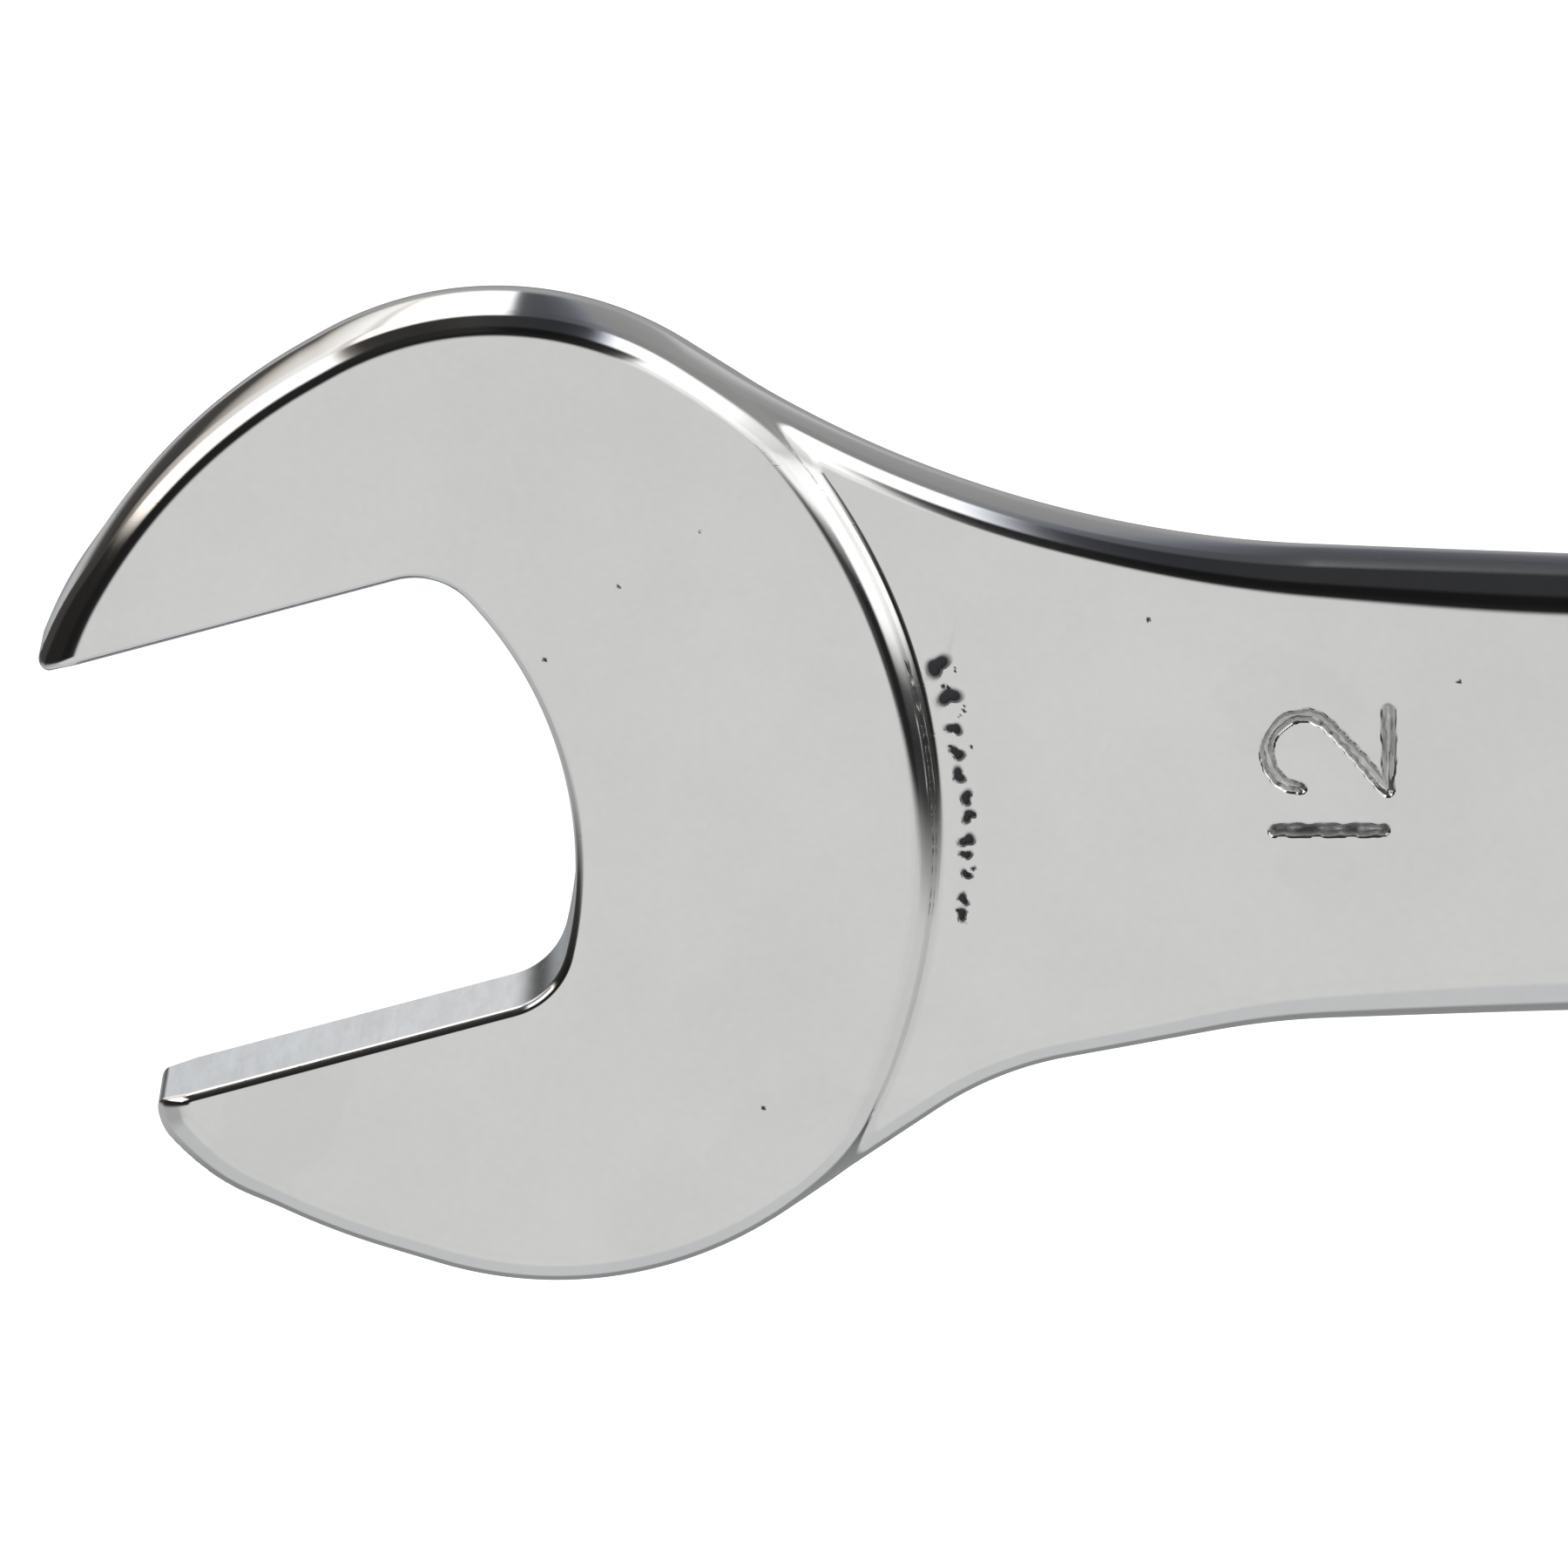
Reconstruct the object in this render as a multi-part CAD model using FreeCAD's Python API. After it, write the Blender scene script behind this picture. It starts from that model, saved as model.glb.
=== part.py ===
import FreeCAD, Part
import math
import os

# Combination wrench, one drop forging: open end at -X, ring end at +X, lying on its back.
# It is laid out with the nut centre of the open end at x = 0 and the shank's line on y = 0.

LENGTH = 168.0              # overall, jaw tip to ring
NUT = 12.0                  # across the flats of the nut it fits
JAW_CLEARANCE = 0.12        # jaw gap over the nut
RING_CLEARANCE = 0.10       # ring hole over the nut

HEAD_THICK = 6.0
JAW_ANGLE = 15.0            # jaws turned from the shank, in plan
JAW_WALL = 7.34             # head beside the jaw gap
JAW_REACH = 6.1             # nut centre to the jaw tips
TIP_RADIUS = 1.25           # jaw tips, in plan
JAW_LEAD = 0.5              # bevel inside the jaw tips
JAW_BREAK = 0.2             # broken edge round the jaw gap
HEAD_OFFSET = 0.86          # nut centre below the shank's line, in plan
THROAT_RADIUS = 10.6        # back of the jaw gap
THROAT_CORNER = 2.0         # corners of the throat

DISC_RADIUS = 16.1          # raised face of the head
DISC_ROUND = 1.0            # top of the slope round the raised face
DISC_COVE = 1.4             # foot of the slope
EDGE = 1.0                  # edge rounding of head and shank

SHANK_THICK = 4.7
SHANK_WIDTH_ROOT = 12.9     # where the head's flare ends
SHANK_WIDTH_RING = 9.5      # where the ring's flare starts
SHANK_HOLLOW = 0.9          # how much narrower its middle is than a straight taper
SHANK_CURVE = 500.0         # hollow of the shank's sides

RING_WALL = 2.35            # outside the points of the hole
RING_THICK = 8.2
RING_TILT = 15.0            # ring raised from the shank
RING_EDGE = 1.1             # edge rounding of the ring
RING_LEAD = 0.45            # lead-in cone of the hole
RING_POINTS = 12
NECK_RADIUS = 20.0          # flare from shank to ring, in plan
NECK_INSET = 1.2            # the neck's sides end this far inside the ring
NECK_SPREAD = 5.0           # each face of the neck opens by this angle
BEND_RADIUS = 26.0          # bend in front of the ring

NUMERAL_HEIGHT = 3.45
NUMERAL_WIDTH = 2.3
NUMERAL_STROKE = 0.45
NUMERAL_DEPTH = 0.25
NUMERAL_GAP = 0.95          # between the digits
NUMERAL_AT = 27.4           # nut centre to the middle of the size number

V = FreeCAD.Vector
MID = HEAD_THICK / 2
SHANK_TOP = MID + SHANK_THICK / 2
SHANK_BOTTOM = MID - SHANK_THICK / 2
GAP = NUT + JAW_CLEARANCE
HOLE = NUT + RING_CLEARANCE
HOLE_CORNER = HOLE / math.sqrt(3)
RING_RADIUS = HOLE_CORNER + RING_WALL
HEAD_WIDTH = GAP + 2 * JAW_WALL
TALL = 60.0                 # taller than the wrench lying down, for cutting tools


def tangent(a, b):
    """The straight touching circle a, then circle b: its start, its end and its heading."""
    apart = b[0] - a[0]
    side = b[1] * b[2] - a[1] * a[2]
    run = math.sqrt(max(0.0, apart.Length ** 2 - side ** 2))
    heading = math.atan2(apart.y, apart.x) - math.atan2(side, run)
    left = V(-math.sin(heading), math.cos(heading), 0)
    return a[0] - left * (a[1] * a[2]), b[0] - left * (b[1] * b[2]), heading


def belt(circles):
    """A closed wire round circles (centre, radius, +1 left turn or -1 right turn)."""
    straights = []
    for i, circle in enumerate(circles):
        straights.append(tangent(circle, circles[(i + 1) % len(circles)]))
    edges = []
    for i, (start, end, heading) in enumerate(straights):
        if (end - start).Length > 1e-5:
            edges.append(Part.LineSegment(start, end).toShape())
        centre, radius, turn = circles[(i + 1) % len(circles)]
        leave, _, out = straights[(i + 1) % len(circles)]
        if radius > 0:
            half = ((out - heading + math.pi) % (2 * math.pi) - math.pi) / 2
            left = V(-math.sin(heading + half), math.cos(heading + half), 0)
            middle = centre - left * (radius * turn)
            edges.append(Part.Arc(end, middle, leave).toShape())
    return Part.Wire(edges)


def corner(point):
    """A sharp corner, as a circle of no size."""
    return point, 0.0, 1


def prism(wire, low, high):
    """A closed wire drawn at z = 0, raised from low to high."""
    face = Part.Face(wire)
    face.translate(V(0, 0, low))
    return face.extrude(V(0, 0, high - low))


def jaw(along, across):
    """A point given from the nut centre, along the jaws towards the shank and across them."""
    a = math.radians(JAW_ANGLE)
    x = along * math.cos(a) - across * math.sin(a)
    y = along * math.sin(a) + across * math.cos(a)
    return V(x, y - HEAD_OFFSET, 0)


def grown(x, y, radius, turn):
    """A circle of the head's outline, in head widths from the nut centre."""
    centre = V(x * HEAD_WIDTH, y * HEAD_WIDTH - HEAD_OFFSET, 0)
    return centre, radius * HEAD_WIDTH, turn


def tip(circle, side):
    """The rounding of a jaw tip: touches the head's circle inside and the reach in front."""
    a = math.radians(JAW_ANGLE)
    off = circle[0] - jaw(0, 0)
    along = off.x * math.cos(a) + off.y * math.sin(a)
    across = off.y * math.cos(a) - off.x * math.sin(a)
    front = TIP_RADIUS - JAW_REACH
    aside = math.sqrt((circle[1] - TIP_RADIUS) ** 2 - (front - along) ** 2)
    return jaw(front, across + side * aside), TIP_RADIUS, -1


def follow(before, radius, y, straight):
    """A left-turning circle at height y, reached from the circle before by a straight."""
    side = radius - before[1] * before[2]
    apart = math.sqrt(side ** 2 + straight ** 2)
    x = before[0].x + math.sqrt(apart ** 2 - (y - before[0].y) ** 2)
    return V(x, y, 0), radius, 1


# --- where the ring stands --------------------------------------------------------------
TILT = math.radians(RING_TILT)
core_radius = RING_RADIUS - RING_EDGE
core_half = RING_THICK / 2 - RING_EDGE
ring_z = core_half * math.cos(TILT) + core_radius * math.sin(TILT) + RING_EDGE
ring_far = core_radius * math.cos(TILT) + core_half * math.sin(TILT) + RING_EDGE

# --- plan outline -----------------------------------------------------------------------
brow = grown(0.284, -0.047, 0.603, -1)
crown = grown(0.185, 0.1716, 0.364, -1)
root = SHANK_WIDTH_ROOT / 2
hollow = follow(crown, 31.7, root + 31.7, 1.34)
chin = grown(0.0508, -0.1404, 0.2642, -1)
cheek = grown(0.2888, 0.2843, 0.75, -1)
jowl = grown(0.2463, -0.0537, 0.4142, -1)
under = follow((jowl[0] * -1 + V(2 * jowl[0].x, 0, 0), jowl[1], -1), 9.3, root + 10.0, 5.0)
heel = follow(under, 21.3, root + 21.1, 3.8)
upper_tip = tip(brow, 1)
lower_tip = tip(chin, -1)
tip_x = upper_tip[0].x - TIP_RADIUS
ring_x = LENGTH + tip_x - ring_far
neck = math.sqrt((NECK_RADIUS + RING_RADIUS) ** 2 - (NECK_RADIUS + SHANK_WIDTH_RING / 2) ** 2)
mid_x = ring_x / 2
neck_x = ring_x - neck
neck_end = RING_RADIUS - NECK_INSET


def mirrored(circle):
    """The same circle on the other side of the shank's line."""
    return V(circle[0].x, -circle[0].y, 0), circle[1], circle[2]


waist_width = (SHANK_WIDTH_ROOT + SHANK_WIDTH_RING) / 2 - SHANK_HOLLOW
waist = V(mid_x, waist_width / 2 + SHANK_CURVE, 0), SHANK_CURVE, 1
throat_side = V(neck_x, SHANK_WIDTH_RING / 2 + NECK_RADIUS, 0), NECK_RADIUS, 1
stop = corner(V(ring_x, neck_end, 0))
outline = belt([
    corner(jaw(-JAW_REACH - 0.8, 0)), upper_tip, brow, crown, hollow, waist, throat_side,
    stop, mirrored(stop), mirrored(throat_side), mirrored(waist), mirrored(heel),
    mirrored(under), jowl, cheek, chin, lower_tip,
])

# --- thickness: the raised disc of the head and the shank's side view --------------------
step = HEAD_THICK - SHANK_TOP
slope = math.acos(1 - step / (DISC_ROUND + DISC_COVE))
disc_foot = DISC_RADIUS + (DISC_ROUND + DISC_COVE) * math.sin(slope)


def rim(radius, depth, flip):
    """A point of the disc's rim in the XZ plane, depth below the raised face."""
    return V(radius, 0, MID + flip * (MID - depth))


def rim_points(flip):
    """The rim on one side of mid thickness, from the flat face to the foot."""
    points = [rim(DISC_RADIUS, 0, flip)]
    for share in (0.5, 1.0):
        a = slope * share
        points.append(rim(DISC_RADIUS + DISC_ROUND * math.sin(a), DISC_ROUND * (1 - math.cos(a)), flip))
    for share in (0.5, 0.0):
        a = slope * share
        drop = step - DISC_COVE * (1 - math.cos(a))
        points.append(rim(disc_foot - DISC_COVE * math.sin(a), drop, flip))
    return points


def curve(a, b, c):
    """The arc through three points."""
    return Part.Arc(a, b, c).toShape()


def line(a, b):
    """The straight edge between two points."""
    return Part.LineSegment(a, b).toShape()


top = rim_points(1)
low = rim_points(-1)
axis_top = V(0, 0, HEAD_THICK)
axis_low = V(0, 0, 0)
disc_wire = Part.Wire([
    line(axis_low, axis_top), line(axis_top, top[0]), curve(top[0], top[1], top[2]),
    curve(top[2], top[3], top[4]), line(top[4], low[4]), curve(low[4], low[3], low[2]),
    curve(low[2], low[1], low[0]), line(low[0], axis_low),
])
disc = Part.Face(disc_wire).revolve(V(0, 0, 0), V(0, 0, 1), 360)
disc.translate(V(-0.19, -1.25, 0))

bend_run = BEND_RADIUS * math.tan(TILT / 2)
vertex_x = ring_x - (ring_z - MID) / math.tan(TILT)
bend_x = vertex_x - bend_run


def turn_up(radius, degrees, z):
    """Middle and end of an arc that leaves (bend_x, z) level and turns up."""
    points = []
    for share in (0.5, 1.0):
        a = math.radians(degrees * share)
        points.append(V(bend_x + radius * math.sin(a), 0, z + radius * (1 - math.cos(a))))
    return points


def onward(point, degrees):
    """Where the straight that leaves the point upwards reaches the ring's centre line."""
    run = ring_x + 2 - point.x
    return V(ring_x + 2, 0, point.z + run * math.tan(math.radians(degrees)))


upper = turn_up(BEND_RADIUS - SHANK_THICK / 2, RING_TILT + NECK_SPREAD, SHANK_TOP)
lower = turn_up(BEND_RADIUS + SHANK_THICK / 2, RING_TILT - NECK_SPREAD, SHANK_BOTTOM)
end_top = onward(upper[1], RING_TILT + NECK_SPREAD)
end_low = onward(lower[1], RING_TILT - NECK_SPREAD)
start_top = V(-20, 0, SHANK_TOP)
start_low = V(-20, 0, SHANK_BOTTOM)
bend_top = V(bend_x, 0, SHANK_TOP)
bend_low = V(bend_x, 0, SHANK_BOTTOM)
side_wire = Part.Wire([
    line(start_low, start_top), line(start_top, bend_top), curve(bend_top, upper[0], upper[1]),
    line(upper[1], end_top), line(end_top, end_low), line(end_low, lower[1]),
    curve(lower[1], lower[0], bend_low), line(bend_low, start_low),
])
slab = Part.Face(side_wire)
slab.translate(V(0, -TALL / 2, 0))
slab = slab.extrude(V(0, TALL, 0))

envelope = disc.fuse(slab)
blank = prism(outline, -TALL / 2, TALL / 2).common(envelope).removeSplitter()


def is_wall(face, point):
    """Whether the face stands upright at a point of it."""
    u, v = face.Surface.parameter(point)
    return abs(face.normalAt(u, v).z) < 0.02


def rounded_edges(solid):
    """The edges between the upright sides and the faces above and below them."""
    found = []
    for edge in solid.Edges:
        faces = solid.ancestorsOfType(edge, Part.Face)
        point = edge.valueAt((edge.FirstParameter + edge.LastParameter) / 2)
        walls = [is_wall(face, point) for face in faces]
        if sorted(walls) == [False, True] and edge.BoundBox.XMin < ring_x - 1:
            found.append(edge)
    return found


forging = blank.Solids[0].makeFillet(EDGE, rounded_edges(blank.Solids[0]))

# --- ring ---------------------------------------------------------------------------------
half_ring = RING_THICK / 2
shoulder = RING_EDGE * (1 - math.sqrt(0.5))
ring_wire = Part.Wire([
    line(V(0, 0, -half_ring), V(core_radius, 0, -half_ring)),
    curve(V(core_radius, 0, -half_ring), V(RING_RADIUS - shoulder, 0, shoulder - half_ring),
          V(RING_RADIUS, 0, -core_half)),
    line(V(RING_RADIUS, 0, -core_half), V(RING_RADIUS, 0, core_half)),
    curve(V(RING_RADIUS, 0, core_half), V(RING_RADIUS - shoulder, 0, half_ring - shoulder),
          V(core_radius, 0, half_ring)),
    line(V(core_radius, 0, half_ring), V(0, 0, half_ring)),
    line(V(0, 0, half_ring), V(0, 0, -half_ring)),
])
ring = Part.Face(ring_wire).revolve(V(0, 0, 0), V(0, 0, 1), 360)

points = []
inner_corner = HOLE / 2 / math.cos(math.pi / RING_POINTS)
for i in range(2 * RING_POINTS):
    a = math.pi * i / RING_POINTS
    reach = HOLE_CORNER if i % 2 else inner_corner
    points.append(V(reach * math.cos(a), reach * math.sin(a), 0))
star = prism(Part.makePolygon(points + points[:1]), -TALL / 2, TALL / 2)
lead_mouth = HOLE_CORNER + RING_LEAD
lead_depth = lead_mouth - inner_corner + RING_LEAD
lead_foot = lead_mouth - lead_depth
lead_base = V(0, 0, half_ring - lead_depth)
lead_top = Part.makeCone(lead_foot, lead_mouth + lead_depth, 2 * lead_depth, lead_base)
lead_low = lead_top.mirror(V(0, 0, 0), V(0, 0, 1))
hole = star.fuse([lead_top, lead_low])


def stood(shape):
    """A shape drawn flat about the origin, moved to the ring's tilted place."""
    moved = shape.copy()
    moved.rotate(V(0, 0, 0), V(0, 1, 0), -RING_TILT)
    moved.translate(V(ring_x, 0, ring_z))
    return moved


forging = forging.fuse(stood(ring)).cut(stood(hole)).removeSplitter()

# --- jaw gap ------------------------------------------------------------------------------
half_gap = GAP / 2
throat = GAP / math.sqrt(3)
round_run = math.sqrt((THROAT_RADIUS - THROAT_CORNER) ** 2 - (half_gap - THROAT_CORNER) ** 2)
corner_along = throat - THROAT_RADIUS + round_run
mouth = -JAW_REACH - 4
lead_along = -JAW_REACH + JAW_LEAD
wide = half_gap + (lead_along - mouth)
gap_outline = belt([
    corner(jaw(mouth, wide)), corner(jaw(lead_along, half_gap)),
    (jaw(corner_along, half_gap - THROAT_CORNER), THROAT_CORNER, -1),
    (jaw(throat - THROAT_RADIUS, 0), THROAT_RADIUS, -1),
    (jaw(corner_along, THROAT_CORNER - half_gap), THROAT_CORNER, -1),
    corner(jaw(lead_along, -half_gap)), corner(jaw(mouth, -wide)),
])
forging = forging.cut(prism(gap_outline, -TALL / 2, TALL / 2)).Solids[0]


def is_gap_edge(solid, edge):
    """Whether the edge runs between a wall of the jaw gap and the head's faces."""
    point = edge.valueAt((edge.FirstParameter + edge.LastParameter) / 2)
    walls = [is_wall(face, point) for face in solid.ancestorsOfType(edge, Part.Face)]
    off = point - jaw(0, 0)
    off.z = 0
    along = off.dot(jaw(1, 0) - jaw(0, 0))
    across = abs(off.dot(jaw(0, 1) - jaw(0, 0)))
    inside = lead_along < along < throat + JAW_BREAK and across < half_gap + JAW_BREAK
    return inside and sorted(walls) == [False, True]


gap_edges = [edge for edge in forging.Edges if is_gap_edge(forging, edge)]
forging = forging.makeFillet(JAW_BREAK, gap_edges)

# --- size number, reading across the shank ------------------------------------------------
s = NUMERAL_STROKE


def stroke(a, b):
    """A straight stroke of a digit between two points (along the line of text, up)."""
    run = V(b[0] - a[0], b[1] - a[1], 0)
    aside = V(-run.y, run.x, 0).normalize() * (s / 2)
    start = V(a[0], a[1], 0)
    end = V(b[0], b[1], 0)
    corners = [start + aside, end + aside, end - aside, start - aside]
    return prism(Part.makePolygon(corners + corners[:1]), 0, NUMERAL_DEPTH * 2)


bowl = NUMERAL_WIDTH / 2 - s / 2
bowl_up = NUMERAL_HEIGHT - s / 2 - bowl
hook = prism(Part.Wire(Part.makeCircle(bowl + s / 2, V(0, bowl_up, 0))), 0, NUMERAL_DEPTH * 2)
hook = hook.cut(prism(Part.Wire(Part.makeCircle(bowl - s / 2, V(0, bowl_up, 0))), 0, NUMERAL_DEPTH * 2))
below = [V(-bowl * 2, bowl_up, 0), V(0, bowl_up, 0), V(bowl * 0.9, bowl_up - bowl * 0.5, 0),
         V(bowl * 2, -s, 0), V(-bowl * 2, -s, 0)]
hook = hook.cut(prism(Part.makePolygon(below + below[:1]), 0, NUMERAL_DEPTH * 2))
two = hook.fuse([
    stroke((bowl * 0.86, bowl_up - bowl * 0.42), (-bowl, s / 2)),
    stroke((-bowl - s / 2, s / 2), (bowl + s / 2, s / 2)),
])
one = stroke((0, 0), (0, NUMERAL_HEIGHT))
one.translate(V(-NUMERAL_WIDTH / 2 - NUMERAL_GAP, 0, 0))
digits = one.fuse(two)
digits.translate(V((NUMERAL_GAP + s / 2) / 2, -NUMERAL_HEIGHT / 2, 0))
digits.rotate(V(0, 0, 0), V(0, 0, 1), 90)
digits.translate(V(NUMERAL_AT, 0, SHANK_TOP - NUMERAL_DEPTH))
forging = forging.cut(digits)

# --- hand over, centred under its own box -------------------------------------------------
highest = crown[0].y + crown[1]
lowest = jowl[0].y - jowl[1]
forging.translate(V(-tip_x - LENGTH / 2, -(highest + lowest) / 2, 0))
os.makedirs("parts", exist_ok=True)
forging.exportStep("parts/wrench_forging.step")
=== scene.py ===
"""A chrome-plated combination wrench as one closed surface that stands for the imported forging, with its stage."""
import math

import bpy
import numpy as np
from mathutils import Matrix, Vector
from mathutils.geometry import delaunay_2d_cdt


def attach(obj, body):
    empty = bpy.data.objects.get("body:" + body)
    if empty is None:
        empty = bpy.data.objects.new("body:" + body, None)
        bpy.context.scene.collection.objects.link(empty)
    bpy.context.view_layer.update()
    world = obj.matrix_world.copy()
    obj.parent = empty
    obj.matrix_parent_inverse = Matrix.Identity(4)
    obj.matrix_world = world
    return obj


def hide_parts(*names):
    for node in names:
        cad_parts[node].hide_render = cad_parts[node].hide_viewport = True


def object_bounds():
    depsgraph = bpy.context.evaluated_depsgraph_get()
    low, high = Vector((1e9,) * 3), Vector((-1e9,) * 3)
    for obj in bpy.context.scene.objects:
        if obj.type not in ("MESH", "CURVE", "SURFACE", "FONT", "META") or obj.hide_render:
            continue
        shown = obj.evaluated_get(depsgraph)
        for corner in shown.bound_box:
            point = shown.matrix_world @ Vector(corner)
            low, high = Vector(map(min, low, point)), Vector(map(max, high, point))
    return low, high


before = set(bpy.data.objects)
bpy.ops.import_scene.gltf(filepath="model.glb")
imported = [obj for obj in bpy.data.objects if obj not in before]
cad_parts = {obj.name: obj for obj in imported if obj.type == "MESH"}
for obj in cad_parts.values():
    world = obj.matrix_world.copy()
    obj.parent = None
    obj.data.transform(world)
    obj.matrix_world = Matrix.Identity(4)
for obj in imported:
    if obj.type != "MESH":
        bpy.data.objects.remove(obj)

bl_info = {
    "name": "Combination wrench",
    "version": (1, 0, 0),
    "blender": (4, 5, 0),
    "location": "3D View > Sidebar > Wrench",
    "description": "Builds a forged and plated combination wrench and the stage it lies on",
    "category": "Add Mesh",
}

CAD_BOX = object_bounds()
MM = 0.001

# The forging's own sizes in millimetres, laid out flat from the nut centre of the open end.
TILT = math.radians(15)      # of the jaws in plan, and of the ring in side view
MID = 3.0                    # mid thickness above the bench
HALF_HEAD, HALF_SHANK, HALF_RING = 3.0, 2.35, 4.1
HEAD_DROP = 0.86             # nut centre below the shank's line
HALF_GAP = 6.06
THROAT = 2 * HALF_GAP / math.sqrt(3)   # back of the gap: a corner of the nut
THROAT_RADIUS, THROAT_CORNER = 10.6, 2.0
TIP_RADIUS, TIP_REACH = 1.25, 6.1
NOSE = 0.3                   # round where a jaw face meets its tip
GAP_EDGE = 0.27              # rounding of the jaw gap's edge
HOLE = 12.1                  # across the flats
HOLE_CORNER = HOLE / math.sqrt(3)
HOLE_INNER = HOLE / 2 / math.cos(math.radians(15))
HOLE_MOUTH = HOLE_CORNER + 0.45
RING_RADIUS = HOLE_CORNER + 2.35
RING_EDGE = 1.1
BEND_RADIUS = 26.0
FOLD_X = 135.6228            # where the neck starts to turn up
RING_AT = FOLD_X + 15.475    # ring centre along the flat length
NECK_FLARE, NECK_ASIDE = 20.0, 24.75   # flare from shank to ring: its radius and its centre's distance aside
DISC_AT = (-0.19, -1.25)     # middle of the head's raised face
DISC_RADIUS = 16.25
SHANK_CURVE = 500.0          # hollow of the shank's sides
BARREL = 19.0                # radius of the slight bulge of the outer walls
STEP_CREST, STEP_COVE = 0.9, 0.4       # arcs at the top and the foot of the step round the disc
RING_COVE = 1.5              # arc where the neck meets the ring
NECK_SPREAD = math.radians(5)          # by which each face of the neck opens
MOUTH_SOFT = 0.12            # half the run over which the hole's cone eases in
HEAD_EDGE = 0.82             # rounding of the outer edge round the head, and how it differs elsewhere
TIPS_MORE, SHANK_MORE, RING_LESS = 0.35, 0.75, 0.47
RING_ZONE = 20.0             # the ring's rules apply within this distance of its centre
FINE = 0.1                   # spacing on the outlines that distances are measured to


# --- outlines: circles joined by straights that touch them -------------------------------------
def touching(a, b):
    """The straight that touches circle a and then circle b: its ends and its heading."""
    apart = np.subtract(b[:2], a[:2])
    side = b[2] * b[3] - a[2] * a[3]
    run = math.sqrt(max(0.0, apart @ apart - side * side))
    heading = math.atan2(apart[1], apart[0]) - math.atan2(side, run)
    left = np.array([-math.sin(heading), math.cos(heading)])
    return a[:2] - left * (a[2] * a[3]), b[:2] - left * (b[2] * b[3]), heading


def belt(circles, coarse=0.8):
    """Points all the way round circles (x, y, radius, +1 left or -1 right turn). Each arc is centre plus radius
    times the cosine and sine of evenly spaced headings, and each straight is evenly spaced between its ends.
    Gives rows of x, y, outward x, outward y, centre x, centre y, radius, turn (0 on a straight)."""
    joins = [touching(np.array(c), np.array(circles[(i + 1) % len(circles)])) for i, c in enumerate(circles)]
    rows = []
    for i, (start, end, heading) in enumerate(joins):
        x, y, radius, turn = circles[(i + 1) % len(circles)]
        out = joins[(i + 1) % len(circles)][2]
        left = np.array([-math.sin(heading), math.cos(heading)])
        length = math.hypot(*(end - start))
        n = int(math.ceil(length / coarse)) if length > 1e-6 else 0
        if n:
            t = np.arange(n)[:, None] / n
            flat = start + (end - start) * t
            rows.append(np.hstack([flat, np.tile(np.r_[left, start, 0, 0], (n, 1))]))
        if radius > 0:
            sweep = turn * ((turn * (out - heading) + 1e-7) % (2 * math.pi))
            gap = min(coarse, max(0.03, 0.045 * radius), 0.3 if x < 60 and radius < 100 else coarse)
            n = max(1, int(math.ceil(abs(sweep) * radius / gap)))
            a = heading + sweep * np.arange(n) / n
            left = np.stack([-np.sin(a), np.cos(a)], 1)
            arc = np.array([x, y]) - left * (radius * turn)
            rows.append(np.hstack([arc, left, np.tile([x, y, radius, turn], (n, 1))]))
    return np.concatenate(rows)


def from_jaw(along, across):
    """A plan point given along the jaws, towards the shank, and across them."""
    x = along * math.cos(TILT) - across * math.sin(TILT)
    return x, along * math.sin(TILT) + across * math.cos(TILT) - HEAD_DROP


def to_jaw(x, y):
    """The reverse of from_jaw, for arrays."""
    y = y + HEAD_DROP
    return x * math.cos(TILT) + y * math.sin(TILT), y * math.cos(TILT) - x * math.sin(TILT)


def tip(circle, side):
    """The jaw tip's circle: inside the head's circle and level with the reach of the jaws."""
    along, across = to_jaw(circle[0], circle[1])
    front = TIP_RADIUS - TIP_REACH
    aside = math.sqrt((circle[2] - TIP_RADIUS) ** 2 - (front - along) ** 2)
    return (*from_jaw(front, across + side * aside), TIP_RADIUS, -1)


def nose(tip_circle, side):
    """The small round where a jaw face runs out into its tip."""
    along, across = to_jaw(tip_circle[0], tip_circle[1])
    level = side * (HALF_GAP + NOSE)
    back = math.sqrt((TIP_RADIUS - NOSE) ** 2 - (level - across) ** 2)
    return (*from_jaw(along - back, level), NOSE, -1)


def over(circle):
    """The same circle across the shank's line."""
    return (circle[0], -circle[1], circle[2], circle[3])


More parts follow.
